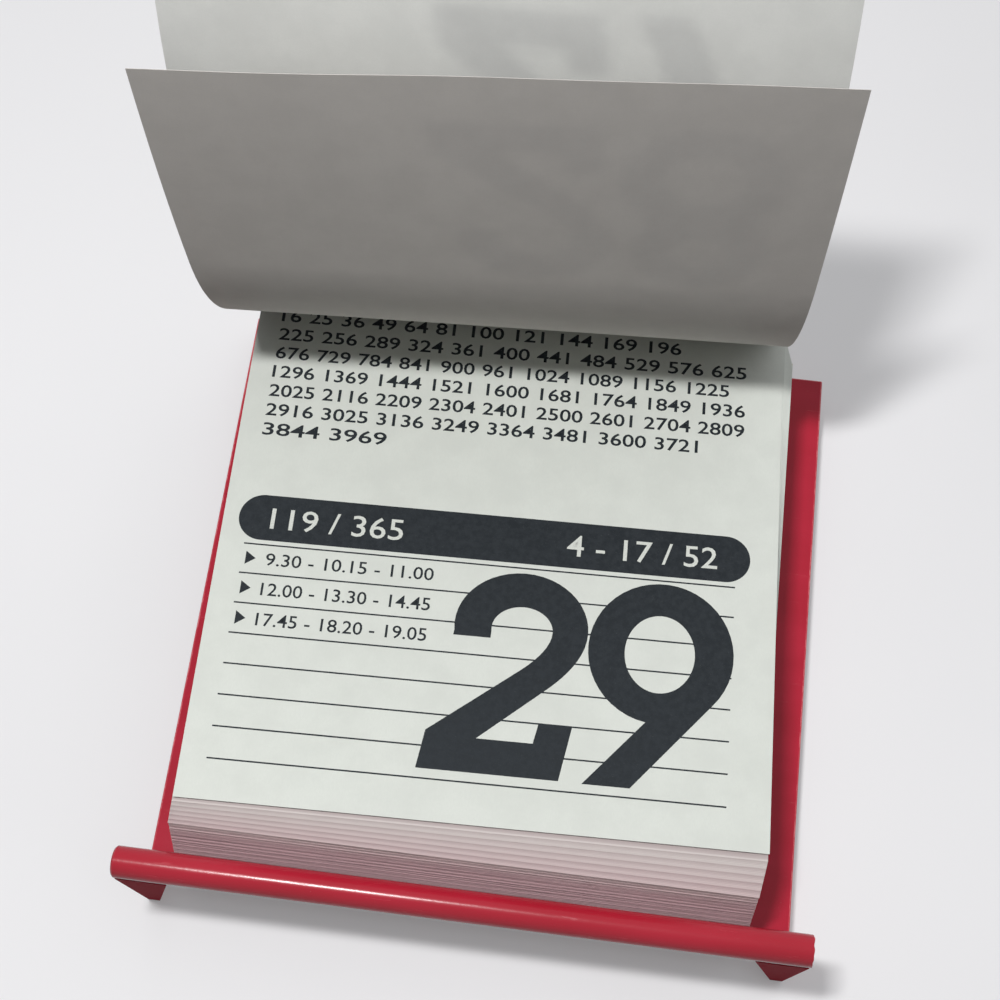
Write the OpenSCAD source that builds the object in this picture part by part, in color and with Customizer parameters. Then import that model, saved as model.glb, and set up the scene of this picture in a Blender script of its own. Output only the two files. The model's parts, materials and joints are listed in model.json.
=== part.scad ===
// Page-a-day desk calendar, lying on its back as it is laid on a table to be read.
// A glued pad of day leaves is taped to an L-shaped moulded stand with a round front bar.
// X runs across the page, Y up the page, Z out of the page. The origin is on the table, under the middle.

/* [Leaves] */
// Width of one day leaf
page_w = 114.3; // [90:0.1:118]
// Length of one day leaf, from its free edge to its glued edge
page_l = 114.3; // [95:0.1:116]
// Thickness of one leaf of paper
leaf_t = 0.1; // [0.08:0.01:0.11]

/* [Pad] */
// Thickness of the leaves still bound, at the glued edge
bound_spine_t = 17.6; // [5:0.1:25]
// Thickness of the leaves still bound, at the free edge, where they are fluffed
bound_free_t = 20.5; // [6:0.1:26]
// Distance that the top of the bound leaves leans up the page
bound_lean = 8.4; // [0:0.1:12]
// Gap between neighbouring months of leaves
month_gap = 0.05; // [0.03:0.01:0.2]
// Distance from the middle of the stand to the middle of the pad, to the left
pad_off = 1.2; // [0:0.1:3]
// Distance from the foot of the stand to the foot of the pad
pad_foot = 3.5; // [3.4:0.1:10]
// Thickness of the backing card
card_t = 1.2; // [0.6:0.1:3]
// Thickness of the foam tape under the card
tape_t = 0.8; // [0.4:0.1:2]
// Width of each strip of foam tape
tape_w = 18; // [8:1:30]
// Distance from the middle of the pad to the middle of each strip of tape
tape_x = 34; // [20:1:40]
// Distance that the tape stays inside the card's ends
tape_inset = 6; // [0:1:20]
// Thickness of the glue film on the bound edge
glue_t = 0.6; // [0.3:0.1:1.5]

/* [Loose leaves] */
// Rise of the free edge from one loose leaf to the next
fan_rise = 0.7; // [0.3:0.05:1.2]
// Shift up the page from one loose leaf to the next
fan_step = 1; // [0:0.1:1.5]
// Pitch of the loose leaves at the glued edge
fan_pitch = 0.13; // [0.12:0.01:0.3]
// Sideways slip of the top leaf to the left of the bound leaves
fan_slip = 0.8; // [0:0.1:3]
// Turn of the top leaf on the bound leaves, in degrees
fan_twist = 1.66; // [0:0.02:2]
// Bare paper between a leaf's hinge line and its glued edge
root_gap = 0.3; // [0.2:0.1:1]

/* [Turned leaves] */
// Height of each turned leaf's hinge line over the leaf below it
turn_pitch = 0.3; // [0.2:0.05:0.6]
// Distance of each turned leaf's hinge line behind the leaf below it
turn_back = 0.6; // [0.5:0.05:1]
// Sideways slip of the turned leaves past the top leaf
turn_slip = 1.6; // [0:0.1:4]
// Sideways sway of the last turned leaf's free edge
previous_sway = 2.4; // [0:0.1:4]
// Sideways sway of the free edge of the leaf turned before it
before_sway = 3.4; // [0:0.1:6]
// Distance from the glued edge to the end of the turned leaves' main bend
bend_l = 62; // [40:1:75]
// Angle at which the last turned leaf leaves the glued edge, at its left edge
previous_root_left_a = 35; // [30:1:45]
// Angle at which the last turned leaf leaves the glued edge, at its right edge
previous_root_right_a = 40; // [30:1:45]
// Angle of the last turned leaf after its main bend, at its left edge
previous_mid_left_a = 89; // [80:1:95]
// Angle of the last turned leaf after its main bend, at its right edge
previous_mid_right_a = 92; // [80:1:95]
// Angle of the last turned leaf at its free edge, on the left
previous_end_left_a = 95; // [85:1:105]
// Angle of the last turned leaf at its free edge, on the right
previous_end_right_a = 97; // [90:1:110]
// Angle at which the leaf turned before it leaves the glued edge
before_root_a = 60; // [55:1:80]
// Angle of the leaf turned before it after its main bend
before_mid_a = 92; // [88:1:105]
// Angle of the leaf turned before it at its free edge
before_end_a = 120; // [110:1:140]

/* [Stand] */
// Width of the back plate
plate_w = 131.4; // [124:0.2:160]
// Distance from the foot of the stand to the back plate's top edge
plate_l = 132.9; // [124:0.1:170]
// Thickness of the back plate
plate_t = 2; // [1.5:0.1:4]
// Clear height under the back plate when it lies on its back
plate_lift = 4; // [3.8:0.1:8]
// Radius of the front bar
bar_r = 3.05; // [2:0.05:5]
// Height of the front bar's middle over the face of the back plate
bar_rise = 26.5; // [20:0.5:45]
// Length of the front bar past each bracket
bar_overhang = 0.3; // [0.2:0.1:6]
// Thickness of each end bracket
bracket_t = 2.5; // [1.5:0.1:3]
// Depth of each end bracket's upright, up the page
bracket_d = 6; // [5:0.1:8]
// Width of each end bracket's front web where it meets the bar
web_w = 10; // [4:0.5:20]
// Length of each end bracket's flange under the back plate
flange_l = 18; // [8:1:40]
// Gap of the welded seat between a bracket and the bar
weld_gap = 0.02; // [0.01:0.01:0.05]

/* [Easel leg] */
// Distance from the foot of the stand to the leg's hinge
hinge_y = 108; // [90:1:115]
// Length of the leg from its hinge to its foot
leg_l = 100; // [60:1:102]
// Width of the leg at its hinge
leg_w = 62; // [40:1:90]
// Width of the leg at its foot
leg_foot_w = 46; // [30:1:80]
// Thickness of the leg
leg_t = 2; // [1.5:0.1:2.4]
// Radius of the hinge pin
pin_r = 1; // [0.8:0.05:1.1]
// Radius of the leg's hinge barrel
barrel_r = 1.65; // [1.5:0.05:1.7]
// Running clearance between the pin and the barrel
pin_clearance = 0.06; // [0.02:0.01:0.1]
// Width of each hinge lug under the back plate
lug_w = 6; // [4:0.5:12]
// Length of each hinge lug, up the page
lug_l = 7; // [5:0.5:12]
// Side clearance between the leg and each lug
lug_gap = 0.3; // [0.2:0.1:1]
// Angle at which the leg's heel stops on the back plate
leg_open_a = 35; // [20:1:45]

/* [Hidden] */
$fn = 64;

// Colours
plastic_red = [0.76, 0.15, 0.21];
paper_white = [0.85, 0.86, 0.83];
paper_shade = [0.78, 0.77, 0.74];
card_grey = [0.58, 0.55, 0.5];
tape_white = [0.92, 0.92, 0.9];
glue_clear = [0.83, 0.8, 0.72];
steel_grey = [0.7, 0.7, 0.72];

// Leaves bound in each month, from the bottom of the pad up; the first days of May lie loose on top
loose_next = 5;
may_loose = 4;
month_leaves = [31, 30, 31, 30, 31, 31, 30, 31 - may_loose];
bound_leaves = leaves_below(len(month_leaves));
function leaves_below(i) = i == 0 ? 0 : leaves_below(i - 1) + month_leaves[i - 1];

// Pad, with heights from the table and places up the page from the foot of the stand
plate_top = plate_lift + plate_t;
card_z = plate_top + tape_t;
bound_z = card_z + card_t;
pad_mid = pad_foot + page_l / 2;
today = loose_next + 1;
function spine_z(part) = bound_z + bound_spine_t * part;
function free_z(part) = bound_z + bound_free_t * part;
function fan_lean(k) = bound_lean + fan_step * k;
function fan_spine_z(k) = spine_z(1) + fan_pitch * k;
function fan_free_z(k) = free_z(1) + fan_rise * k;
function fan_tilt(k) = atan((fan_free_z(k) - fan_spine_z(k)) / page_l);

// Turned leaves: each side's outline is two arcs, laid end to end
stations = 28;
function arc_r(a0, a1, length) = length / ((a1 - a0) * PI / 180);
function arc_place(a0, a1, length, s) =
    let (r = arc_r(a0, a1, length), a = a0 + (a1 - a0) * s / length)
    [-r * (sin(a) - sin(a0)), r * (cos(a0) - cos(a))];
function bend_angle(bend, s) =
    s < bend_l
        ? bend[0] + (bend[1] - bend[0]) * s / bend_l
        : bend[1] + (bend[2] - bend[1]) * (s - bend_l) / (page_l - bend_l);
function bend_place(bend, s) =
    s < bend_l
        ? arc_place(bend[0], bend[1], bend_l, s)
        : arc_place(bend[0], bend[1], bend_l, bend_l) + arc_place(bend[1], bend[2], page_l - bend_l, s - bend_l);
function bend_point(bend, s, x, lift) =
    let (p = bend_place(bend, s), a = bend_angle(bend, s))
    [x, p[0] + lift * sin(a), p[1] + lift * cos(a)];
previous_left = [previous_root_left_a, previous_mid_left_a, previous_end_left_a];
previous_right = [previous_root_right_a, previous_mid_right_a, previous_end_right_a];
before_bend = [before_root_a, before_mid_a, before_end_a];
before_order = 2;

// The depth of the whole calendar, from the foot to the free edge of the leaf turned furthest back
rear_corner = bend_point(before_bend, page_l, page_w / 2 - turn_slip - before_sway, leaf_t);
rear_y = page_l / 2 + turn_back * before_order
    + rear_corner[1] * cos(fan_tilt(today)) + rear_corner[2] * sin(fan_tilt(today));
rear_reach = pad_mid + fan_lean(today) + rear_corner[0] * sin(fan_twist) + rear_y * cos(fan_twist);
foot_y = -max(plate_l, rear_reach) / 2;
pad_y = foot_y + pad_mid;

// Stand
bar_y = foot_y + bar_r;
bar_z = plate_top + bar_rise;
bar_l = plate_w + 2 * bar_overhang;
bracket_top = bar_z - bar_r / 2;
pin_y = foot_y + hinge_y;
pin_z = plate_lift / 2;
lug_x = leg_w / 2 + lug_gap;
pin_l = 2 * (lug_x + lug_w);
heel_clearance = 0.05;
heel_l = (plate_lift - pin_z - heel_clearance) / sin(leg_open_a);
cut = 1;

// Puts a leaf where the fan has carried it; the bound leaves are step 0
module at_fan(k, lean) {
    translate([-pad_off - fan_slip * k / today, pad_y + lean, 0])
        rotate([0, 0, fan_twist * k / today])
            children();
}

// Extrudes an outline drawn in Y and Z along X, about the middle
module across(width) {
    translate([-width / 2, 0, 0])
        rotate([90, 0, 90])
            linear_extrude(width)
                children();
}

// The leaves of one month, a leaning block that is thicker at its free edge
module month(i) {
    low = leaves_below(i) / bound_leaves;
    high = leaves_below(i + 1) / bound_leaves;
    color(i % 2 == 0 ? paper_shade : paper_white)
        at_fan(0, 0)
            across(page_w)
                polygon([[bound_lean * low - page_l / 2, free_z(low) + month_gap],
                         [bound_lean * low + page_l / 2, spine_z(low) + month_gap],
                         [bound_lean * high + page_l / 2, spine_z(high)],
                         [bound_lean * high - page_l / 2, free_z(high)]]);
}

// One flat loose leaf, hinged on its glued edge
module loose_leaf(k) {
    color(k % 2 == 0 ? paper_white : paper_shade)
        at_fan(k, fan_lean(k))
            translate([0, page_l / 2, fan_spine_z(k)])
                rotate([-fan_tilt(k), 0, 0])
                    translate([-page_w / 2, -page_l, 0])
                        cube([page_w, page_l - root_gap, leaf_t]);
}

// One leaf turned back over the glued edge, as a sheet between its left and right outlines
module turned_leaf(order, left, right, sway) {
    points = [for (i = [0 : stations])
        let (s = root_gap + (page_l - root_gap) * i / stations)
        let (middle = -turn_slip - sway * s / page_l)
        let (xl = middle - page_w / 2, xr = middle + page_w / 2)
        each [bend_point(left, s, xl, 0), bend_point(right, s, xr, 0),
              bend_point(right, s, xr, leaf_t), bend_point(left, s, xl, leaf_t)]];
    last = 4 * stations;
    sides = [for (i = [0 : stations - 1], j = [0 : 3])
        let (a = 4 * i + j, b = 4 * i + (j + 1) % 4)
        each j == 2 ? [[a, a + 4, b], [b, a + 4, b + 4]] : [[a, b + 4, b], [a, a + 4, b + 4]]];
    ends = [[0, 1, 2], [0, 2, 3], [last, last + 2, last + 1], [last, last + 3, last + 2]];
    at_fan(today, fan_lean(today))
        translate([0, page_l / 2 + turn_back * order, fan_spine_z(today) + turn_pitch * order])
            rotate([-fan_tilt(today), 0, 0])
                polyhedron(points, concat(sides, ends));
}

// Flat back plate with two hinge lugs on its back
module back_plate() {
    color(plastic_red)
        difference() {
            union() {
                translate([-plate_w / 2, foot_y + bracket_d, plate_lift])
                    cube([plate_w, plate_l - bracket_d, plate_t]);
                for (side = [-1, 1])
                    translate([side * (lug_x + lug_w / 2) - lug_w / 2, pin_y - lug_l / 2, 0])
                        cube([lug_w, lug_l, plate_lift + plate_t / 2]);
            }
            translate([-pin_l / 2 - cut, pin_y, pin_z])
                rotate([0, 90, 0])
                    cylinder(h = pin_l + 2 * cut, r = pin_r);
        }
}

// End bracket: an upright from the table to the bar, a front web that widens to the bar, and a flange
module bracket(side) {
    color(plastic_red)
        difference() {
            union() {
                translate([side * (plate_w - bracket_t) / 2 - bracket_t / 2, foot_y, 0]) {
                    cube([bracket_t, bracket_d, bracket_top]);
                    cube([bracket_t, bracket_d + flange_l, plate_lift]);
                }
                translate([side * plate_w / 2, foot_y + bracket_t, 0])
                    rotate([90, 0, 0])
                        linear_extrude(bracket_t)
                            polygon([[0, 0], [-side * bracket_t, 0],
                                     [-side * web_w, bracket_top], [0, bracket_top]]);
            }
            translate([-bar_l / 2 - cut, bar_y, bar_z])
                rotate([0, 90, 0])
                    cylinder(h = bar_l + 2 * cut, r = bar_r + weld_gap);
        }
}

module left_bracket() {
    bracket(-1);
}

module right_bracket() {
    bracket(1);
}

// Round bar along the front of the ledge
module front_bar() {
    color(plastic_red)
        translate([-bar_l / 2, bar_y, bar_z])
            rotate([0, 90, 0])
                cylinder(h = bar_l, r = bar_r);
}

// Tapered leg, folded flat under the back plate, with its barrel and stop heel
module easel_leg() {
    color(plastic_red)
        difference() {
            translate([0, pin_y, pin_z])
                union() {
                    translate([0, 0, -leg_t / 2])
                        linear_extrude(leg_t)
                            polygon([[-leg_w / 2, 0], [leg_w / 2, 0],
                                     [leg_foot_w / 2, -leg_l], [-leg_foot_w / 2, -leg_l]]);
                    translate([-leg_w / 2, 0, 0])
                        rotate([0, 90, 0])
                            cylinder(h = leg_w, r = barrel_r);
                    translate([-leg_w / 2, 0, -leg_t / 2])
                        cube([leg_w, heel_l, leg_t / 2]);
                }
            translate([-leg_w / 2 - cut, pin_y, pin_z])
                rotate([0, 90, 0])
                    cylinder(h = leg_w + 2 * cut, r = pin_r + pin_clearance);
        }
}

// Hinge pin, held in the lugs
module leg_hinge_pin() {
    color(steel_grey)
        translate([-pin_l / 2, pin_y, pin_z])
            rotate([0, 90, 0])
                cylinder(h = pin_l, r = pin_r);
}

// Two strips of foam tape that hold the card on the back plate
module pad_tape() {
    color(tape_white)
        for (side = [-1, 1])
            translate([side * tape_x - tape_w / 2 - pad_off, pad_y - page_l / 2 + tape_inset, plate_top])
                cube([tape_w, page_l - 2 * tape_inset, tape_t]);
}

// Stiff card behind the leaves
module backing_card() {
    color(card_grey)
        translate([-page_w / 2 - pad_off, pad_y - page_l / 2, card_z])
            cube([page_w, page_l, card_t]);
}

// Glue film over the bound edge, leaning with the leaves
module spine_glue() {
    color(glue_clear)
        at_fan(0, page_l / 2)
            across(page_w)
                polygon([[0, bound_z],
                         [bound_lean, spine_z(1)],
                         [bound_lean + glue_t, spine_z(1)],
                         [glue_t, bound_z]]);
}

module leaf_previous() {
    color(paper_shade)
        turned_leaf(1, previous_left, previous_right, previous_sway);
}

module leaf_before() {
    color(paper_white)
        turned_leaf(before_order, before_bend, before_bend, before_sway);
}

back_plate();
left_bracket();
right_bracket();
front_bar();
easel_leg();
leg_hinge_pin();
pad_tape();
backing_card();
spine_glue();
month(0);  // pages_december
month(1);  // pages_november
month(2);  // pages_october
month(3);  // pages_september
month(4);  // pages_august
month(5);  // pages_july
month(6);  // pages_june
month(7);  // pages_may
loose_leaf(1);  // leaf_next_5
loose_leaf(2);  // leaf_next_4
loose_leaf(3);  // leaf_next_3
loose_leaf(4);  // leaf_next_2
loose_leaf(5);  // leaf_next_1
loose_leaf(today);  // leaf_today
leaf_previous();
leaf_before();
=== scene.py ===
import json
import math
import random

import bmesh
import bpy
import numpy as np
from mathutils import Matrix, Vector, noise


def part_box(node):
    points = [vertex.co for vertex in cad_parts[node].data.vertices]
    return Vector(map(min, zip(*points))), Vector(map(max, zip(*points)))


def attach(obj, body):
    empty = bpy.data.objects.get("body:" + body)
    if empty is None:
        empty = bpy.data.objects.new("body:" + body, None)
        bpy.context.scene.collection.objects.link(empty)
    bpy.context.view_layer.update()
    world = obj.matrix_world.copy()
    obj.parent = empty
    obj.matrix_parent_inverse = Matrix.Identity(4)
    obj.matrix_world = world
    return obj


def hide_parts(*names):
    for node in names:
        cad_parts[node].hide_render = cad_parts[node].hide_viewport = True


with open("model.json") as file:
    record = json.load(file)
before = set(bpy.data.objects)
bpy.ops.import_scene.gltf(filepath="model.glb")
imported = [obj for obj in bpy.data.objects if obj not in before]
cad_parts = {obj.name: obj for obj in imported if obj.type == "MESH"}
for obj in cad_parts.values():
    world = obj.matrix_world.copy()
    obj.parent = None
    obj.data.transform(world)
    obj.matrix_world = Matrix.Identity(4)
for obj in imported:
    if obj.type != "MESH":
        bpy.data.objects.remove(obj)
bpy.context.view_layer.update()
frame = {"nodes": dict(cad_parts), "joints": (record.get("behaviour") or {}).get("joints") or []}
scene = bpy.context.scene
nodes = frame["nodes"]
joints = {j["name"]: j for j in frame["joints"]}
MM = 0.001
foot_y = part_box("front_bar")[0].y

# Sizes and counts that the part's source holds, in millimetres and degrees
PAGE_W = 114.3
PAGE_L = 114.3
LEAF_T = 0.1
ROOT_GAP = 0.3
MONTH_GAP = 0.05
GLUE_T = 0.6
TURN_SLIP = 1.6
BEND_L = 62.0
BEND_PREVIOUS = ((35, 89, 95), (40, 92, 97))
BEND_BEFORE = ((60, 92, 120), (60, 92, 120))
SWAY_PREVIOUS = 2.4
SWAY_BEFORE = 3.4
MONTHS = (("december", 31), ("november", 30), ("october", 31), ("september", 30),
          ("august", 31), ("july", 31), ("june", 30), ("may", 27))

# Edges sharper than this angle are kept sharp, or are rounded where a piece is moulded
CREASE = math.radians(40)

# A flat leaf's wave and a turned leaf's ripple in millimetres, and the share of a turned leaf's length
# that keeps it within the solid's reach
WAVE = 0.05
RIPPLE = 0.3
TURN_EASE = 0.996

# Free end of a loose leaf: rows of points in millimetres from the edge, the painted shade at each (a dark
# band under the leaf above), the most of that which shows, and where the end's painted pink reflection and
# shade begin to fade and have faded
END_ROWS = (0.0, 0.12, 0.28, 0.4, 0.9, 1.3, 1.7, 2.2)
END_SHADE = (0.1, 0.0, 0.1, 0.8, 1.0, 1.0, 0.5, 0.0)
END_SHADE_MOST = 0.45
FADE = (1.3, 2.2)

# Painted shade on the ends of the few leaves between one loose leaf and the next, from the top one down; how
# strong the painted pink reflection and shade are on the first loose leaf's end, and how much more on each
# below
CLUMP = (0.5, 0.4, 0.2, 0.0, 0.05)
END_SHADING_FIRST = 0.55
END_SHADING_STEP = 0.1

# Cells across and along a leaf's sheet, and how closely the print is cut, in millimetres
TODAY_GRID = (40, 40)
LOOSE_GRID = (30, 30)
CLUMP_GRID = (24, 12)
TURNED_GRID = (76, 114)
FLAT_CUT = 3.0
TURNED_CUT = 1.5

# The bound leaves: cells across each one, the seed of their unevenness, and where each leaf begins and ends
# in its share of the pile's height
STACK_COLUMNS = 14
STACK_SEED = 29
SLAB_FILL = (0.1, 0.92)

# How far inside the solid a bound leaf is cut, in millimetres: the least, what chance adds, what changes
# slowly from leaf to leaf, and the ripple along one leaf; then the least and what chance adds at its sides
CUT_LEAST, CUT_CHANCE, CUT_SLOW, CUT_RIPPLE = 0.03, 0.12, 0.16, 0.05
SIDE_LEAST, SIDE_CHANCE = 0.02, 0.14

# The tone of a bound leaf: its middle, what changes slowly from leaf to leaf and what chance adds or takes;
# then how strongly the free ends are painted pink and darker, a painted red reflection and painted shade,
# and how much less so at the top of the pile
TONE_MIDDLE, TONE_SLOW, TONE_CHANCE = 0.55, 0.3, 0.2
SHADED_ENDS, SHADED_LESS = 0.8, 0.05

# The glue film: cells across and up, and the least and the most of the solid's thickness that it fills
GLUE_GRID = (96, 36)
GLUE_LEAST, GLUE_MOST = 0.3, 0.98

# The front bar: cells around and along, then in millimetres its left end's rounding, how far the length stops
# short of the right end, the least that it lies inside the solid, its wander, and the end's part that takes
# the paler edge finish, wear with a painted highlight
BAR_AROUND, BAR_ALONG = 64, 120
BAR_ROUNDING, BAR_SHORT, BAR_INSIDE, BAR_WANDER, BAR_PALE_END = 0.35, 0.2, 0.012, 0.035, 0.6

# The bar's rough right end: depth of the chips where the length stops, then rings from the rim to the middle,
# each by its distance from the end, its share of the radius and the depth of its chips, in millimetres
CHIP_FIRST = 0.25
ROUGH_END = ((0.0, 0.97, 0.5), (0.0, 0.8, 0.35), (0.1, 0.4, 0.4))

# The photograph's view, in metres, with the lens in millimetres
CAMERA_FORWARD = (-0.0457, 0.354, -0.9341)
CAMERA_RIGHT = (0.9922, 0.1249, -0.0012)
CAMERA_PLACE = (0.0122, foot_y - 0.0315, 0.339)
CAMERA_LENS = 57.53

# The lamp, in metres and watts, and the side from which the surround is brightest
KEY_PLACE = (-0.092, foot_y + 0.033, 0.55)
KEY_TARGET = (0, 0, 0.02)
KEY_SIZE = (0.03, 0.08)
KEY_POWER = 2.08
BRIGHT_SIDE = (0.55, 0.75, 0.35)

# The table's half width and its distance under the part, in metres
TABLE_HALF = 4
TABLE_DROP = 0.0001


# Camera, at the photograph's place over the foot of the calendar
def make_camera():
    forward = Vector(CAMERA_FORWARD).normalized()
    right = Vector(CAMERA_RIGHT)
    right = (right - forward * right.dot(forward)).normalized()
    up = right.cross(forward)
    data = bpy.data.cameras.new("camera")
    data.sensor_width = 36
    data.lens = CAMERA_LENS
    data.clip_start = 0.01
    data.clip_end = 20
    camera = bpy.data.objects.new("camera", data)
    place = Matrix((right, up, -forward)).transposed().to_4x4()
    place.translation = Vector(CAMERA_PLACE)
    camera.matrix_world = place
    scene.collection.objects.link(camera)
    scene.camera = camera


# Materials
class Shader:
    """A principled material whose patterns are laid out in metres on the piece at rest."""

    def __init__(self, name, colour, rough, specular=0.5):
        self.mat = bpy.data.materials.new(name)
        self.mat.use_nodes = True
        self.tree = self.mat.node_tree
        self.bsdf = self.tree.nodes["Principled BSDF"]
        self.bsdf.inputs["Base Color"].default_value = (*colour, 1)
        self.bsdf.inputs["Roughness"].default_value = rough
        self.bsdf.inputs["Specular IOR Level"].default_value = specular
        self.coords = self.tree.nodes.new("ShaderNodeTexCoord").outputs["Object"]

    def put(self, socket, value):
        if isinstance(value, bpy.types.NodeSocket):
            self.tree.links.new(value, socket)
        elif isinstance(value, tuple) and len(value) == 3 and socket.type == "RGBA":
            socket.default_value = (*value, 1)
        else:
            socket.default_value = value

    def stretched(self, stretch):
        if stretch is None:
            return self.coords
        n = self.tree.nodes.new("ShaderNodeMapping")
        self.put(n.inputs["Vector"], self.coords)
        n.inputs["Scale"].default_value = stretch
        return n.outputs["Vector"]

    def noise(self, scale, detail=3.0, rough=0.55, stretch=None):
        n = self.tree.nodes.new("ShaderNodeTexNoise")
        self.put(n.inputs["Vector"], self.stretched(stretch))
        n.inputs["Scale"].default_value = scale
        n.inputs["Detail"].default_value = detail
        n.inputs["Roughness"].default_value = rough
        return n.outputs["Fac"]

    def cells(self, scale):
        n = self.tree.nodes.new("ShaderNodeTexVoronoi")
        self.put(n.inputs["Vector"], self.coords)
        n.inputs["Scale"].default_value = scale
        return n.outputs["Distance"]

    def distance(self):
        n = self.tree.nodes.new("ShaderNodeVectorMath")
        n.operation = "LENGTH"
        self.put(n.inputs[0], self.coords)
        return n.outputs["Value"]

    def attribute(self, name):
        n = self.tree.nodes.new("ShaderNodeAttribute")
        n.attribute_name = name
        return n.outputs["Fac"]

    def span(self, value, low, high, to_low=0.0, to_high=1.0):
        n = self.tree.nodes.new("ShaderNodeMapRange")
        n.interpolation_type = "SMOOTHSTEP"
        self.put(n.inputs["Value"], value)
        for key, number in (("From Min", low), ("From Max", high), ("To Min", to_low), ("To Max", to_high)):
            n.inputs[key].default_value = number
        return n.outputs["Result"]

    def combine(self, operation, a, b):
        n = self.tree.nodes.new("ShaderNodeMath")
        n.operation = operation
        self.put(n.inputs[0], a)
        self.put(n.inputs[1], b)
        return n.outputs[0]

    def times(self, a, b):
        return self.combine("MULTIPLY", a, b)

    def plus(self, a, b):
        return self.combine("ADD", a, b)

    def mix(self, fac, a, b):
        n = self.tree.nodes.new("ShaderNodeMix")
        n.data_type = "RGBA"
        self.put(n.inputs[0], fac)
        self.put(n.inputs[6], a)
        self.put(n.inputs[7], b)
        return n.outputs[2]

    def colour(self, value):
        self.put(self.bsdf.inputs["Base Color"], value)

    def roughness(self, value):
        self.put(self.bsdf.inputs["Roughness"], value)

    def bump(self, height, strength, distance):
        n = self.tree.nodes.new("ShaderNodeBump")
        n.inputs["Strength"].default_value = strength
        n.inputs["Distance"].default_value = distance
        self.put(n.inputs["Height"], height)
        self.tree.links.new(n.outputs["Normal"], self.bsdf.inputs["Normal"])


RED_TINTS = ((0.485, 0.0125, 0.031), (0.545, 0.016, 0.04))


def red_plastic(name, gloss, smooth, dull, deep):
    """Moulded red plastic, from its smoothest to its most scuffed places; deep scales its tints, and its
    darkening of the bar and the brackets is painted shade.
    """
    s = Shader(name, (0.5, 0.014, 0.034), smooth, gloss)
    flow = s.noise(28, 2, stretch=(1, 4, 1))
    scuff = s.span(s.noise(330, 6, 0.7, stretch=(0.3, 2.5, 1)), 0.6, 0.72)
    dust = s.span(s.noise(2600, 4, 0.6), 0.68, 0.76)
    low, high = (tuple(np.multiply(deep, tint)) for tint in RED_TINTS)
    tone = s.mix(s.span(flow, 0.3, 0.7), low, high)
    tone = s.mix(s.times(scuff, 0.12), tone, (0.62, 0.12, 0.15))
    s.colour(s.mix(s.times(dust, 0.12), tone, (0.7, 0.42, 0.42)))
    s.roughness(s.span(s.plus(scuff, s.times(flow, 0.4)), 0, 1.4, smooth, dull))
    s.bump(s.plus(s.noise(900, 3), s.times(scuff, -0.4)), 0.06, 0.0002)
    return s.mat


def red_edge_wear_and_highlight():
    """The same plastic where its edges are paler: a painted edge highlight mixed with rubbed wear."""
    s = Shader("red_edge_wear_and_highlight", (0.62, 0.07, 0.1), 0.38)
    # Painted highlight: the paler edge colour stands in for light catching the rounded edges, with wear mixed
    # in
    wear_and_highlight = s.span(s.noise(420, 5, 0.65), 0.42, 0.68)
    s.colour(s.mix(wear_and_highlight, (0.52, 0.03, 0.052), (0.68, 0.19, 0.21)))
    s.roughness(s.span(wear_and_highlight, 0, 1, 0.28, 0.55))
    s.bump(s.noise(1500, 3), 0.1, 0.0002)
    return s.mat


def leaf_paper(name, colour, ghost):
    """Uncoated leaf: soft mottling, fibres, the other side's print showing through; painted pink reflection
    and shade at loose ends.
    """
    s = Shader(name, colour, 0.85, 0.25)
    cloud = s.span(s.noise(130, 4, 0.6), 0.3, 0.7)
    fibre = s.noise(3800, 5, 0.7, stretch=(1, 0.35, 1))
    deep = tuple(c * 0.94 for c in colour)
    tone = s.mix(cloud, deep, colour)
    tone = s.mix(s.times(s.span(fibre, 0.35, 0.75), 0.35), tone, tuple(c * 0.9 for c in colour))
    tone = s.mix(s.times(s.attribute("ghost"), ghost), tone, (0.2, 0.2, 0.215))
    # Painted pink reflection of the red stand on a loose leaf's free end
    tone = s.mix(s.attribute("blush"), tone, (0.62, 0.495, 0.495))
    # Painted shade: the dark band under the leaf above
    tone = s.mix(s.attribute("painted_shade"), tone, (0.33, 0.24, 0.25))
    s.colour(tone)
    s.roughness(s.span(fibre, 0.2, 0.8, 0.75, 0.95))
    s.bump(s.plus(fibre, s.times(s.noise(420, 3), 0.6)), 0.12, 0.00012)
    return s.mat


def stack_paper():
    """Cut edges of the bound leaves, each with a tone of its own; free ends are painted pinker and darker as
    reflection and shade.
    """
    s = Shader("stack_paper", (0.42, 0.3, 0.31), 0.88, 0.2)
    fray = s.noise(2400, 4, 0.65, stretch=(0.25, 1, 3))
    # Painted red reflection and painted shade on the free ends, against the unshaded cut edges
    shaded_end = s.mix(s.attribute("tone"), (0.39, 0.236, 0.256), (0.62, 0.425, 0.446))
    unshaded_edge = s.mix(s.attribute("tone"), (0.5, 0.46, 0.43), (0.74, 0.71, 0.67))
    tone = s.mix(s.span(s.attribute("blush"), 0.7, 0.8), unshaded_edge, shaded_end)
    s.colour(s.mix(s.times(s.span(fray, 0.5, 0.75), 0.4), tone, (0.27, 0.18, 0.19)))
    s.roughness(s.span(fray, 0.2, 0.8, 0.8, 0.95))
    s.bump(fray, 0.25, 0.0001)
    return s.mat


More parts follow.
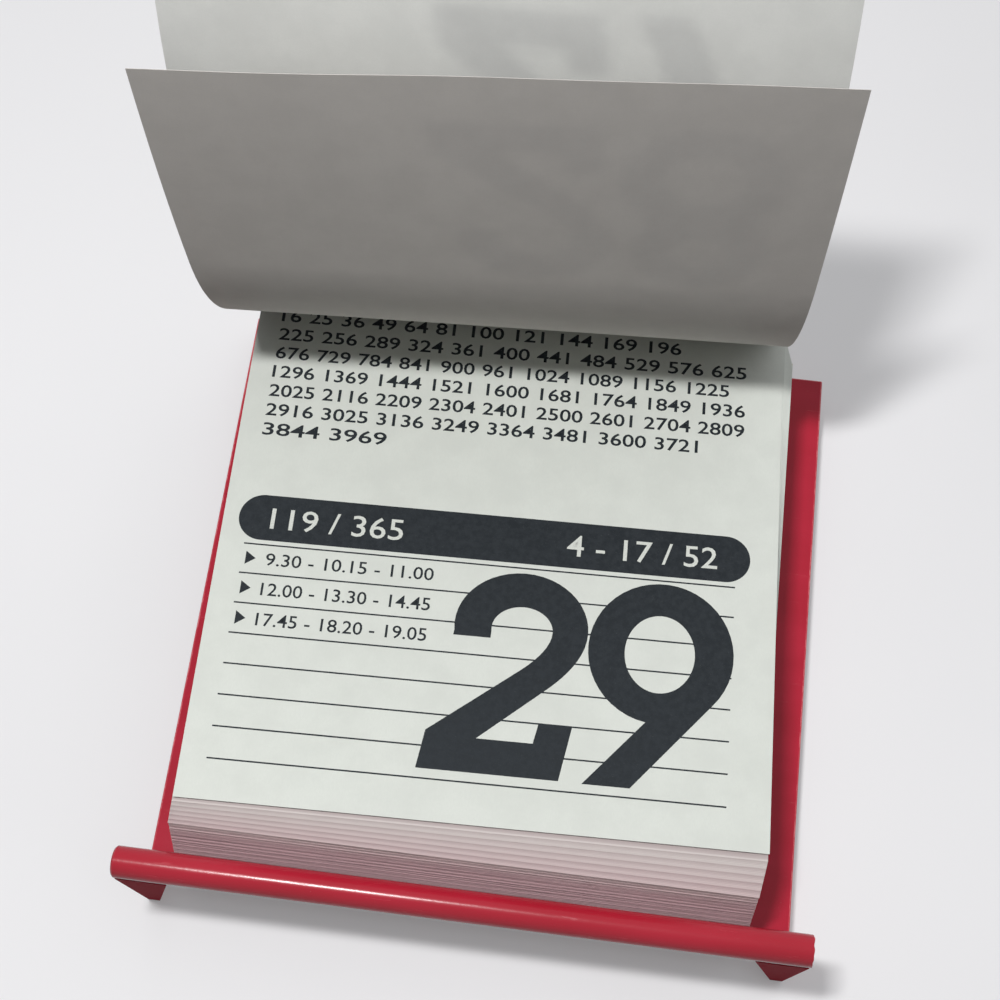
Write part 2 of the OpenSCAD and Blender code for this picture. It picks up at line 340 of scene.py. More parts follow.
def ink():
    """Printing ink, with specks where the paper shows through."""
    s = Shader("ink", (0.02, 0.025, 0.029), 0.62, 0.15)
    speck = s.span(s.noise(5200, 4, 0.7), 0.6, 0.76)
    cloud = s.noise(700, 3, 0.6)
    tone = s.mix(s.span(cloud, 0.3, 0.7), (0.014, 0.018, 0.022), (0.026, 0.031, 0.036))
    s.colour(s.mix(s.times(speck, 0.3), tone, (0.25, 0.26, 0.25)))
    s.roughness(s.span(cloud, 0.2, 0.8, 0.52, 0.75))
    s.bump(s.noise(4000, 3), 0.08, 0.0001)
    return s.mat


def bare_paper():
    """Paper left bare inside the printed band."""
    s = Shader("bare_paper", (0.66, 0.68, 0.63), 0.85, 0.25)
    fibre = s.noise(3800, 5, 0.7)
    s.colour(s.mix(s.span(fibre, 0.35, 0.75), (0.7, 0.72, 0.67), (0.56, 0.58, 0.54)))
    s.bump(fibre, 0.1, 0.0001)
    return s.mat


def card():
    """Grey board with plies along its edge and flecks."""
    s = Shader("grey_card", (0.28, 0.25, 0.2), 0.9, 0.2)
    ply = s.noise(1500, 3, 0.6, stretch=(0.05, 0.05, 2.5))
    fleck = s.span(s.noise(1800, 5, 0.7), 0.58, 0.72)
    tone = s.mix(s.span(ply, 0.35, 0.65), (0.21, 0.185, 0.15), (0.34, 0.305, 0.25))
    s.colour(s.mix(s.times(fleck, 0.5), tone, (0.13, 0.11, 0.09)))
    s.bump(s.plus(ply, s.noise(1500, 4)), 0.3, 0.0002)
    return s.mat


def foam():
    """Foam tape with fine pores."""
    s = Shader("foam_tape", (0.78, 0.78, 0.74), 0.8, 0.3)
    pore = s.cells(1400)
    s.colour(s.mix(s.span(pore, 0.1, 0.5), (0.6, 0.6, 0.56), (0.82, 0.82, 0.78)))
    s.bump(pore, 0.5, 0.0003)
    return s.mat


def glue():
    """Dried padding glue, clearer where it is thin."""
    s = Shader("pad_glue", (0.62, 0.56, 0.44), 0.35)
    thick = s.noise(220, 4, 0.6)
    s.colour(s.mix(s.span(thick, 0.3, 0.7), (0.54, 0.47, 0.36), (0.72, 0.68, 0.58)))
    s.roughness(s.span(thick, 0.3, 0.7, 0.25, 0.5))
    s.bump(s.noise(900, 4), 0.25, 0.0003)
    return s.mat


def steel():
    """Drawn steel wire."""
    s = Shader("pin_steel", (0.52, 0.52, 0.54), 0.32)
    s.bsdf.inputs["Metallic"].default_value = 1
    draw = s.noise(3000, 3, 0.6, stretch=(0.05, 1, 1))
    s.colour(s.mix(draw, (0.4, 0.4, 0.42), (0.66, 0.66, 0.68)))
    s.roughness(s.span(draw, 0.2, 0.8, 0.24, 0.42))
    s.bump(draw, 0.15, 0.0001)
    return s.mat


RED = red_plastic("red_plastic", 0.18, 0.11, 0.32, (0.84, 1, 1))
# The bar and the brackets are the same plastic, painted darker as shade; the brackets are also made matte
RED_BAR_SHADED = red_plastic("red_bar_painted_shade", 0.3, 0.2, 0.36, (0.78, 0.78, 0.78))
RED_DULL_SHADED = red_plastic("red_bracket_painted_shade", 0.01, 0.55, 0.7, (0.75, 0.75, 0.75))
RED_EDGE_WEAR_AND_HIGHLIGHT = red_edge_wear_and_highlight()
PAPER = leaf_paper("day_leaf", (0.7, 0.725, 0.675), 0.1)
# The turned leaf is the same paper as the day leaf, painted darker and warmer as shade
PAPER_SHADED = leaf_paper("turned_leaf", (0.55, 0.525, 0.495), 0.1)
PAPER_OLDER = leaf_paper("older_leaf", (0.68, 0.685, 0.66), 0.22)
STACK = stack_paper()
INK = ink()
BARE = bare_paper()
CARD = card()
FOAM = foam()
GLUE = glue()
STEEL = steel()


# Meshes
def add_piece(name, points, faces, material, body, replaced=None, tones=None):
    """A new mesh piece in the part's frame, with points in metres, that rides on a body."""
    mesh = bpy.data.meshes.new(name)
    mesh.from_pydata([tuple(p) for p in points], [], faces)
    mesh.validate()
    mesh.materials.append(material)
    mesh.polygons.foreach_set("use_smooth", [True] * len(mesh.polygons))
    mesh.set_sharp_from_angle(angle=CREASE)
    for label, values in (tones or {}).items():
        layer = mesh.attributes.new(label, "FLOAT", "POINT")
        layer.data.foreach_set("value", np.asarray(values, np.float32))
    mesh.update()
    piece = bpy.data.objects.new(name, mesh)
    scene.collection.objects.link(piece)
    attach(piece, body)
    if replaced:
        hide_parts(replaced)
    return piece


def dress(node, materials, round_edge=0.0):
    """Gives a CAD node its finish and, where it is moulded, small rounded edges."""
    piece = nodes[node]
    piece.data.materials.clear()
    for m in materials:
        piece.data.materials.append(m)
    piece.data.polygons.foreach_set("material_index", [0] * len(piece.data.polygons))
    if round_edge:
        weld = piece.modifiers.new("weld", "WELD")
        weld.merge_threshold = 1e-6
        bevel = piece.modifiers.new("round", "BEVEL")
        bevel.width = round_edge * MM
        bevel.segments = 3
        bevel.limit_method = "ANGLE"
        bevel.angle_limit = CREASE
        bevel.harden_normals = True
        # The rounded edges take the second finish; on the plate and the leg that is the painted edge
        # highlight
        if len(materials) > 1:
            bevel.material = 1


# Leaves
class Leaf:
    """Maps a place on a leaf to the part's frame: mm from its left edge, its free edge and its back."""

    def __init__(self, joint, flat_node="leaf_today", flat_joint="leaf_today_turn"):
        self.hinge = np.array(joints[joint]["pos_m"])
        self.across = -np.array(joints[joint]["axis"])
        flat_hinge = np.array(joints[flat_joint]["pos_m"])
        co = np.array([v.co for v in nodes[flat_node].data.vertices]) - flat_hinge
        co -= np.outer(co @ self.across, self.across)
        reach = np.linalg.norm(co, axis=1)
        far = co[reach > 0.99 * reach.max()]
        low = far[np.argmin(far[:, 2])]
        self.up = -low / np.linalg.norm(low)
        self.out = np.cross(self.across, self.up)

    def wave(self, across, s):
        return WAVE * np.sin(across / 9.0 + s / 31.0) * (s / PAGE_L) ** 2

    def local(self, across, s, lift):
        return across - PAGE_W / 2, -s, lift + self.wave(across, s)

    def place(self, across, up, lift):
        across, up, lift = np.broadcast_arrays(*(np.asarray(v, float) for v in (across, up, lift)))
        x, y, z = self.local(across, PAGE_L - up, lift)
        return (self.hinge + MM * (np.multiply.outer(x, self.across) + np.multiply.outer(y, self.up)
                                   + np.multiply.outer(z, self.out)))


class TurnedLeaf(Leaf):
    """A leaf turned back over the glued edge, bent in two arcs along each side."""

    def __init__(self, joint, bends, sway, ripple):
        super().__init__(joint)
        self.bends = bends
        self.sway = sway
        self.ripple = ripple

    def arc(self, start, end, length, s):
        radius = length / math.radians(end - start)
        a = np.radians(start + (end - start) * s / length)
        a0 = math.radians(start)
        return -radius * (np.sin(a) - math.sin(a0)), radius * (math.cos(a0) - np.cos(a)), a

    def side(self, bend, s, lift):
        near, far = np.minimum(s, BEND_L), np.maximum(s - BEND_L, 0)
        y0, z0, a0 = self.arc(bend[0], bend[1], BEND_L, near)
        y1, z1, a1 = self.arc(bend[1], bend[2], PAGE_L - BEND_L, far)
        a = np.where(s < BEND_L, a0, a1)
        return y0 + y1 + lift * np.sin(a), z0 + z1 + lift * np.cos(a)

    def wave(self, across, s):
        run = (s / PAGE_L) ** 2
        soft = np.sin(across / 17.0 + 0.8) + 0.6 * np.sin(across / 8.0 + s / 23.0)
        return -self.ripple * run * (1.0 + 0.6 * soft)

    def local(self, across, s, lift):
        share = across / PAGE_W
        lift = lift + self.wave(across, s)
        s = s * TURN_EASE
        left, right = (self.side(b, s, lift) for b in self.bends)
        x = across - PAGE_W / 2 - TURN_SLIP - self.sway * s / PAGE_L
        return x, left[0] + (right[0] - left[0]) * share, left[1] + (right[1] - left[1]) * share


def sheet_grid(columns, rows, shaded_end):
    """Places on a leaf, row by row from its free edge; a leaf with a painted shaded end has close rows there.
    """
    steps = np.linspace(0, PAGE_L - ROOT_GAP, rows + 1)
    if shaded_end:
        steps = np.concatenate([END_ROWS, steps[1:]])
    across, up = np.meshgrid(np.linspace(0, PAGE_W, columns + 1), steps)
    return across.ravel(), up.ravel(), len(steps) - 1


def sheet_faces(columns, rows):
    """Faces of a closed sheet of two layers of points."""
    wide, half = columns + 1, (columns + 1) * (rows + 1)
    faces = []
    for r in range(rows):
        for c in range(columns):
            a = r * wide + c
            faces.append((a, a + wide, a + wide + 1, a + 1))
            faces.append((half + a, half + a + 1, half + a + wide + 1, half + a + wide))
    rim = ([c for c in range(columns)] + [r * wide + columns for r in range(rows)]
           + [rows * wide + c for c in range(columns, 0, -1)] + [r * wide for r in range(rows, 0, -1)])
    for a, b in zip(rim, rim[1:] + rim[:1]):
        faces.append((a, b, half + b, half + a))
    return faces


def make_sheet(name, leaf, body, material, columns, rows, ghost=None, end_shading=0.0):
    """A leaf of paper in place of its body's solid of the same name; with end shading its free end is painted
    pinker and darker.
    """
    across, up, rows = sheet_grid(columns, rows, end_shading > 0)
    points = np.concatenate([leaf.place(across, up, 0.0), leaf.place(across, up, LEAF_T)])
    faces = sheet_faces(columns, rows)
    half = len(across)
    shade = np.zeros(2 * half)
    if ghost is not None:
        shade[:half] = ghost(across, up)
    # Painted pink reflection and a painted shade band at the free end
    blush = end_shading * np.interp(np.tile(up, 2), FADE, (1, 0))
    painted_shade = END_SHADE_MOST * np.interp(np.tile(up, 2), END_ROWS, END_SHADE) * (end_shading > 0)
    add_piece(name, points, faces, material, body, body,
              tones={"ghost": shade, "blush": blush, "painted_shade": painted_shade})


def make_clump(n, leaf, below, body, end_shading):
    """The few leaves that lie under a loose leaf and lift with it, down to the next one below."""
    columns, rows = CLUMP_GRID
    across, up, rows = sheet_grid(columns, rows, True)
    upper, lower = leaf.place(across, up, 0.0), below(across, up, LEAF_T)
    faces, points, blush, painted_shade = [], [], [], []
    front = np.interp(np.tile(up, 2), FADE, (1, 0))
    for i, dark in enumerate(CLUMP):
        first = len(points) * 2 * len(across)
        faces += [tuple(first + v for v in face) for face in sheet_faces(columns, rows)]
        layers = [upper + (lower - upper) * (i + share) / len(CLUMP) for share in (0.8, 0.2)]
        points.append(np.concatenate(layers))
        # Each clump leaf's end gets the painted pink reflection and its share of painted shade
        blush.append(end_shading * front)
        painted_shade.append(dark * end_shading * front)
    add_piece("clump_next_%d" % n, np.concatenate(points), faces, PAPER, body,
              tones={"blush": np.concatenate(blush), "painted_shade": np.concatenate(painted_shade)})


# Outlines of the plain numbers, in mm on the page
def oval(cx, cy, rx, ry, start=0.0, end=360.0, steps=48):
    n = max(3, int(steps * abs(end - start) / 360))
    stop = n if abs(end - start) < 360 else n - 1
    return [(cx + rx * math.cos(math.radians(start + (end - start) * i / n)),
             cy + ry * math.sin(math.radians(start + (end - start) * i / n))) for i in range(stop + 1)]


def bend(a, b, c, d, steps=10):
    """Points of a cubic curve from a to d, without a and d themselves."""
    a, b, c, d = (np.array(p, float) for p in (a, b, c, d))
    shares = [i / steps for i in range(1, steps)]
    return [tuple(a * (1 - t) ** 3 + 3 * b * t * (1 - t) ** 2 + 3 * c * t * t * (1 - t) + d * t ** 3)
            for t in shares]


def digit_two():
    bowl = oval(63.45, 40.5, 13.45, 11.7, 0, 188)
    hollow = oval(63.65, 40.0, 6.15, 4.9, 188, 0)
    neck_in = bend((69.8, 40), (69.8, 36.6), (66, 33.1), (63.15, 30.9)) + [(63.15, 30.9)]
    neck_out = [(69.3, 27.9)] + bend((69.3, 27.9), (72.7, 30.8), (76.9, 35.3), (76.9, 40.5))
    base = [(46.7, 17.8), (45.6, 10.1), (73.3, 10.1), (75.2, 21.1), (68.6, 21.1), (67.8, 17), (56.7, 17)]
    return [bowl + [(50, 37.8), (57.5, 37.8)] + hollow + neck_in + base + neck_out]


def digit_three():
    top, low = (61.5, 41.6, 12.6, 10.9), (60.6, 22.6, 14.6, 12.5)
    thin = 7.2
    outer = oval(*top, 172, -52) + oval(*low, 50, -172)
    inner = oval(low[0], low[1], low[2] - thin, low[3] - thin, -172, 76)
    waist = [(57.6, 28.4), (57.6, 35.0)]
    return [outer + inner + waist + oval(top[0], top[1], top[2] - thin, top[3] - thin, -78, 172)]


def digit_seven():
    bar = [(106, 47.6), (106, 52.4), (78.6, 52.4), (78.6, 45.2)]
    return [bar + [(95.2, 45.2), (79.4, 10.0), (88.2, 10.0)]]


def digit_eight():
    outer = oval(92.2, 42.2, 12.0, 10.4, -38, 218) + oval(91.4, 22.6, 14.2, 12.6, 138, 402)
    return [outer, oval(92.2, 42.4, 5.0, 4.2), oval(91.4, 22.4, 7.0, 5.9)]


def digit_nine():
    bowl = oval(91.6, 37.9, 14.5, 14.7, -42, 261)
    return [[(77.8, 10), (87.1, 10)] + bowl, oval(91.4, 37.6, 7.0, 8.1)]


def digit_nought():
    return [oval(91.6, 31.3, 14.4, 21.3), oval(91.6, 31.3, 7.1, 13.8)]


# The month, and today's day of the year
MONTH = 4
TODAY = 119

# Layout of a page, in mm from its left edge and its free edge, with the words of the marked lines
BANNER = (3.2, 108.7, 54.3, 64.4)
LABEL_Y, LABEL_H, LABEL_BOLD = 56.9, 4.7, 0.004
DAY_X, DAY_W = 9.9, 27.5
WEEK_X, WEEK_W = 71.2, 30.8
RULE_LEFT, RULE_RIGHT, RULE_T = 5.2, 105.8, 0.32
RULES = [8.15 + 6.45 * i for i in range(8)]
MARK_X, MARK_W, MARK_H = 6.0, 2.1, 1.45
MARK_Y = (50.2, 43.7, 37.2)
TIMES = ("9.30 - 10.15 - 11.00", "12.00 - 13.30 - 14.45", "17.45 - 18.20 - 19.05")
TIME_X, TIME_DROP, TIME_H, TIME_W, TIME_BOLD = 10.2, 1.4, 2.75, 34.5, 0.006
LINE_X, LINE_LOW, LINE_STEP, LINE_H, LINE_W = 4.9, 78.2, 4.62, 3.0, 101.6
LINE_BOLD = 0.012

# How full each line of the text block is, and the most characters in a full one
LINE_FILL = (0.86, 1.0, 0.965, 1.0, 1.0, 0.905, 0.26)
LINE_MOST = 45

# Lowest and highest place of the inks over a leaf's back, in mm, each sunk a little into what it lies on
PRINT_Z = (LEAF_T - 0.01, LEAF_T + 0.009)
DATE_Z = (LEAF_T - 0.008, LEAF_T + 0.014)
LABEL_Z = (LEAF_T + 0.004, LEAF_T + 0.016)
PRINT_WELD = 0.002

# How strongly the band shows through against the date, and the rings in mm that soften what shows
BANNER_SHOW = 0.45
SOFT_RINGS = (0.7, 1.5)


def pill(x0, x1, y0, y1):
    r, mid = (y1 - y0) / 2, (y0 + y1) / 2
    return [oval(x1 - r, mid, r, r, -90, 90, 56) + oval(x0 + r, mid, r, r, 90, 270, 56)]


def inside(loops, x, y):
    """Which points lie inside an outline with holes."""
    odd = np.zeros(x.shape, bool)
    for loop in loops:
        for (ax, ay), (bx, by) in zip(loop, loop[1:] + loop[:1]):
            if ay != by:
                cross = (ay > y) != (by > y)
                odd ^= cross & (x < (bx - ax) * (y - ay) / (by - ay) + ax)
    return odd


def show_through(digits):
    """How strongly the print on the other side shows at a place on a leaf's back, with soft edges."""
    shapes = [(1.0, shape) for shape in digits] + [(BANNER_SHOW, pill(*BANNER))]

    def strength(x, y):
        total = np.zeros(x.shape)
        ring = [(0.0, 0.0)] + [(r * math.cos(a), r * math.sin(a)) for r in SOFT_RINGS
                               for a in np.linspace(0, 2 * math.pi, 8, endpoint=False)]
        for dx, dy in ring:
            for weight, shape in shapes:
                total += weight * inside(shape, x + dx, y + dy)
        return total / len(ring)

    return strength


# Print
def flat_mesh(curve):
    """The filled face of a flat curve or of a line of numbers, as a mesh."""
    holder = bpy.data.objects.new("outline", curve)
    scene.collection.objects.link(holder)
    graph = bpy.context.evaluated_depsgraph_get()
    mesh = bpy.data.meshes.new_from_object(holder.evaluated_get(graph))
    bpy.data.objects.remove(holder)
    bpy.data.curves.remove(curve)
    return mesh


def outline_mesh(loops):
    """A flat filled shape with holes, as a mesh."""
    curve = bpy.data.curves.new("outline", "CURVE")
    curve.dimensions = "2D"
    curve.fill_mode = "BOTH"
    for loop in loops:
        spline = curve.splines.new("POLY")
        spline.points.add(len(loop) - 1)
        for point, (x, y) in zip(spline.points, loop):
            point.co = (x, y, 0, 1)
        spline.use_cyclic_u = True
    return flat_mesh(curve)


def number_mesh(words, left, base, height, width, weight):
    """A line of plain numbers, set to a height and a width."""
    curve = bpy.data.curves.new("numbers", "FONT")
    curve.body = words
    curve.size = 1
    curve.offset = weight
    curve.resolution_u = 3
    mesh = flat_mesh(curve)
    co = np.array([v.co for v in mesh.vertices])
    tall = np.ptp(co[:, 1])
    wide = width / np.ptp(co[:, 0])
    move = Matrix.Diagonal((wide, height / tall, 1, 1))
    move.translation = (left - co[:, 0].min() * wide, base - co[:, 1].min() * height / tall, 0)
    mesh.transform(move)
    return mesh


def square_lines():
    """Lines of plain square numbers for the text block, each as full as it is long."""
    lines, n = [], 4
    for fill in LINE_FILL:
        line = ""
        while len(line) + len(str(n * n)) < LINE_MOST * fill + 1:
            line = (line + " " + str(n * n)).strip()
            n += 1
        lines.append(line)
    return lines


def cut_flat(wide, small, cut):
    """All the flat shapes of a print, facing up; the wide ones are cut so that they follow a bend."""
    bm = bmesh.new()
    for mesh in wide:
        bm.from_mesh(mesh)
        bpy.data.meshes.remove(mesh)
    for along in ((1, 0, 0), (0, 1, 0)):
        for place in np.arange(cut, PAGE_L, cut):
            bmesh.ops.bisect_plane(bm, geom=bm.verts[:] + bm.edges[:] + bm.faces[:],
                                   plane_co=Vector(along) * place, plane_no=along)
    for mesh in small:
        bm.from_mesh(mesh)
        bpy.data.meshes.remove(mesh)
    bmesh.ops.remove_doubles(bm, verts=bm.verts, dist=PRINT_WELD)
    bmesh.ops.dissolve_degenerate(bm, edges=bm.edges, dist=PRINT_WELD)
    for face in bm.faces:
        face.normal_update()
        if face.normal.z < 0:
            face.normal_flip()
    bm.verts.index_update()
    return bm


def stamp(name, wide, small, leaf, body, material, heights, cut):
    """Lays flat shapes on a leaf as one thin closed piece, between two heights over the leaf's back."""
    bm = cut_flat(wide, small, cut)
    flat = np.array([v.co for v in bm.verts])
    count = len(flat)
    faces = []
    for face in bm.faces:
        ring = [v.index for v in face.verts]
        faces.append([i + count for i in ring])
        faces.append(ring[::-1])
        for loop in face.loops:
            if len(loop.edge.link_faces) == 1:
                a, b = loop.vert.index, loop.link_loop_next.vert.index
                faces.append([a, b, b + count, a + count])
    bm.free()
    points = np.concatenate([leaf.place(flat[:, 0], flat[:, 1], height) for height in heights])
    add_piece(name, points, faces, material, body)


def rule_mesh(y):
    low, high = y - RULE_T / 2, y + RULE_T / 2
    return outline_mesh([[(RULE_LEFT, low), (RULE_RIGHT, low), (RULE_RIGHT, high), (RULE_LEFT, high)]])


def small_print():
    """The marks, the times beside them and the lines of the text block."""
    small = []
    for words, y in zip(TIMES, MARK_Y):
        small.append(outline_mesh([[(MARK_X, y - MARK_H), (MARK_X + MARK_W, y), (MARK_X, y + MARK_H)]]))
        small.append(number_mesh(words, TIME_X, y - TIME_DROP, TIME_H, TIME_W, TIME_BOLD))
    for i, (words, fill) in enumerate(zip(square_lines(), LINE_FILL)):
        base = LINE_LOW + LINE_STEP * (len(LINE_FILL) - 1 - i)
        small.append(number_mesh(words, LINE_X, base, LINE_H, LINE_W * fill, LINE_BOLD))
    return small


def page_print(label, leaf, body, digits, day, cut=FLAT_CUT):
    """Everything printed on one leaf: band, rules, marks, times, lines of numbers and the date."""
    wide = [outline_mesh(pill(*BANNER))] + [rule_mesh(y) for y in RULES]
    stamp("print_" + label, wide, small_print(), leaf, body, INK, PRINT_Z, cut)
    date = [outline_mesh(loops) for loops in digits]
    stamp("date_" + label, date, [], leaf, body, INK, DATE_Z, cut)
    week = (day + 6) // 7
    pale = [number_mesh("%d / 365" % day, DAY_X, LABEL_Y, LABEL_H, DAY_W, LABEL_BOLD),
            number_mesh("%d - %d / 52" % (MONTH, week), WEEK_X, LABEL_Y, LABEL_H, WEEK_W, LABEL_BOLD)]
    stamp("banner_" + label, [], pale, leaf, body, BARE, LABEL_Z, cut)


def make_loose_leaves():
    """The loose leaves under today's, from the top one down."""
    names = ["leaf_next_%d" % n for n in range(1, 6)]
    leaves = [Leaf(name + "_lift", name, name + "_lift") for name in names]
    fourth, fifth = leaves[3].place, leaves[4].place

    def under_fifth(across, up, lift):
        return 2 * fifth(across, up, lift) - fourth(across, up, lift)

    below = [leaf.place for leaf in leaves[1:]] + [under_fifth]
    for n, (name, leaf) in enumerate(zip(names, leaves), 1):
        end_shading = END_SHADING_FIRST + END_SHADING_STEP * (n - 1)
        make_sheet("sheet_next_%d" % n, leaf, name, PAPER, *LOOSE_GRID, end_shading=end_shading)
        make_clump(n, leaf, below[n - 1], name, end_shading)
    page_print("next_1", leaves[0], names[0], [digit_three(), digit_nought()], TODAY + 1)


def make_leaves():
    """Today's leaf, the loose ones under it and the two that are turned back."""
    two = digit_two()
    today = Leaf("leaf_today_turn")
    make_sheet("sheet_today", today, "leaf_today", PAPER, *TODAY_GRID)
    page_print("today", today, "leaf_today", [two, digit_nine()], TODAY)
    make_loose_leaves()
    turned = (("previous", BEND_PREVIOUS, SWAY_PREVIOUS, digit_eight(), PAPER_SHADED, TODAY - 1),
              ("before", BEND_BEFORE, SWAY_BEFORE, digit_seven(), PAPER_OLDER, TODAY - 2))
    for label, bends, sway, second, paper, day in turned:
        body = "leaf_" + label
        leaf = TurnedLeaf(body + "_turn", bends, sway, RIPPLE)
        digits = [two, second]
        make_sheet("sheet_" + label, leaf, body, paper, *TURNED_GRID, show_through(digits))
        page_print(label, leaf, body, digits, day, TURNED_CUT)


# Bound leaves
class Pad:
    """Measures of the bound leaves, in metres, from the solids."""

    def __init__(self):
        low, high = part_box("backing_card")
        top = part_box("pages_may")[1]
        self.left, self.right = low.x, high.x
        self.front, self.back = low.y, high.y
        self.bottom = high.z
        self.lean = top.y - self.back
        self.free_t = top.z - self.bottom
        self.spine_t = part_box("spine_glue")[1].z - self.bottom
        self.total = sum(count for _, count in MONTHS)


def slab_points(pad, g, lift, rng):
    """Points of one bound leaf, in rings of four from the left, its tone and how strongly each point is
    painted pink and shaded.
    """
    low, high = ((g + share) / pad.total for share in SLAB_FILL)
    slow = 0.5 + noise.noise((g * 0.31, 3.1, 0))
    inset = (CUT_LEAST + CUT_CHANCE * rng.random() + CUT_SLOW * slow) * MM
    trim = [(SIDE_LEAST + SIDE_CHANCE * rng.random()) * MM for _ in range(2)]
    tone = TONE_MIDDLE + TONE_SLOW * noise.noise((g * 0.43, 0.7, 0)) + rng.uniform(-TONE_CHANCE, TONE_CHANCE)
    tone = min(1.0, max(0.0, tone))
    points, blush = [], []
    for c in range(STACK_COLUMNS + 1):
        share = c / STACK_COLUMNS
        x = pad.left + trim[0] + (pad.right - pad.left - trim[0] - trim[1]) * share
        front = pad.front + inset + CUT_RIPPLE * MM * (1 + noise.noise((share * 6, g * 0.9, 1.7)))
        for y, thick, f in ((front, pad.free_t, low), (front, pad.free_t, high),
                            (pad.back, pad.spine_t, high), (pad.back, pad.spine_t, low)):
            points.append((x, y + pad.lean * f, pad.bottom + thick * f + (lift if f == low else 0.0)))
            # The free end's painted reflection and shade, a little less near the top of the pile
            blush.append(SHADED_ENDS - SHADED_LESS * max(0.0, 4 * f - 3) if y < pad.back else 0.0)
    return points, tone, blush


def slab_faces(first):
    """Faces of one bound leaf, whose points start at a number."""
    faces = []
    for c in range(STACK_COLUMNS):
        a = first + 4 * c
        for e in range(4):
            b = (e + 1) % 4
            faces.append((a + e, a + 4 + e, a + 4 + b, a + b))
    end = first + 4 * STACK_COLUMNS
    faces.append((first, first + 1, first + 2, first + 3))
    faces.append((end + 3, end + 2, end + 1, end))
    return faces


def dress_top_leaf(piece, count):
    """Gives the upper face of a month's last leaf the finish of a day leaf."""
    piece.data.materials.append(PAPER)
    per_leaf = 4 * STACK_COLUMNS + 2
    for c in range(STACK_COLUMNS):
        piece.data.polygons[(count - 1) * per_leaf + 4 * c + 1].material_index = 1


def make_stacks():
    """The bound leaves, month by month, each leaf a thin slab with its own uneven cut edge."""
    rng = random.Random(STACK_SEED)
    pad = Pad()
    done = 0
    for month, count in MONTHS:
        points, faces, tones, blush = [], [], [], []
        for k in range(count):
            lift = MONTH_GAP * MM if k == 0 else 0.0
            slab, tone, shaded_end = slab_points(pad, done + k, lift, rng)
            faces += slab_faces(len(points))
            points += slab
            tones += [tone] * len(slab)
            blush += shaded_end
        done += count
        piece = add_piece("stack_" + month, points, faces, STACK, "stand", "pages_" + month,
                          tones={"tone": tones, "blush": blush})
        if done == pad.total:
            dress_top_leaf(piece, count)


def make_glue():
    """Dried glue film on the bound edge, thicker and thinner along its length."""
    low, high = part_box("spine_glue")
    film = GLUE_T * MM
    lean = high.y - low.y - film
    columns, rows = GLUE_GRID
    points = []
    for side in (1, 0):
        for r in range(rows + 1):
            for c in range(columns + 1):
                u, v = c / columns, r / rows
                x = low.x + (high.x - low.x) * u
                z = low.z + (high.z - low.z) * v
                lump = 0.5 + 0.5 * noise.noise((u * 14, v * 3, 0)) + 0.25 * noise.noise((u * 60, v * 40, 2))
                thick = film * min(GLUE_MOST, max(GLUE_LEAST, 0.35 + 0.5 * lump))
                points.append((x, low.y + lean * v + thick * side, z))
    add_piece("glue_film", points, sheet_faces(columns, rows), GLUE, "stand", "spine_glue")


def bar_points(low, high):
    """Points of the front bar within a box, ring by ring from its left end to its right."""
    mid_y, mid_z, radius = (low.y + high.y) / 2, (low.z + high.z) / 2, (high.z - low.z) / 2
    points = []

    def ring(x, r, rough):
        for i in range(BAR_AROUND):
            a = 2 * math.pi * i / BAR_AROUND
            chip = rough * (0.5 + 0.5 * noise.noise((2.2 * math.cos(a), 2.2 * math.sin(a), x * 900)))
            points.append((x - math.copysign(chip, x), mid_y + r * math.cos(a), mid_z + r * math.sin(a)))

    ring(low.x + 0.02 * MM, radius * 0.4, 0.0)
    ring(low.x, radius - BAR_ROUNDING * MM, 0.0)
    first, last = low.x + BAR_ROUNDING * MM, high.x - BAR_SHORT * MM
    for i in range(BAR_ALONG + 1):
        x = first + (last - first) * i / BAR_ALONG
        wander = 0.5 + 0.5 * noise.noise((x * 70, 0.3, 0))
        ring(x, radius - (BAR_INSIDE + BAR_WANDER * wander) * MM, 0.0 if i < BAR_ALONG else CHIP_FIRST * MM)
    for short, share, chips in ROUGH_END:
        ring(high.x - short * MM, radius * share, chips * MM)
    return points


def make_bar():
    """Front bar, with a faint wander along its length and a rough-cut right end."""
    low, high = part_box("front_bar")
    points = bar_points(low, high)
    last = len(points) - BAR_AROUND
    faces = []
    for first in range(0, last, BAR_AROUND):
        for i in range(BAR_AROUND):
            a, b = first + i, first + (i + 1) % BAR_AROUND
            faces.append((a, b, b + BAR_AROUND, a + BAR_AROUND))
    faces.append(tuple(range(BAR_AROUND))[::-1])
    faces.append(tuple(range(last, last + BAR_AROUND)))
    piece = add_piece("ledge_bar", points, faces, RED_BAR_SHADED, "stand", "front_bar")
    # The right end takes the paler edge finish: wear with a painted highlight
    piece.data.materials.append(RED_EDGE_WEAR_AND_HIGHLIGHT)
    for face in piece.data.polygons:
        if face.center.x > high.x - BAR_PALE_END * MM:
            face.material_index = 1


def dress_stand():
    """Finishes, and rounded edges in mm, of the pieces that keep their CAD shape."""
    dress("back_plate", [RED, RED_EDGE_WEAR_AND_HIGHLIGHT], 0.35)
    dress("left_bracket", [RED_DULL_SHADED], 0.3)
    dress("right_bracket", [RED_DULL_SHADED], 0.3)
    dress("easel_leg", [RED, RED_EDGE_WEAR_AND_HIGHLIGHT], 0.25)
    dress("leg_hinge_pin", [STEEL])
    dress("pad_tape", [FOAM], 0.15)
    dress("backing_card", [CARD], 0.1)


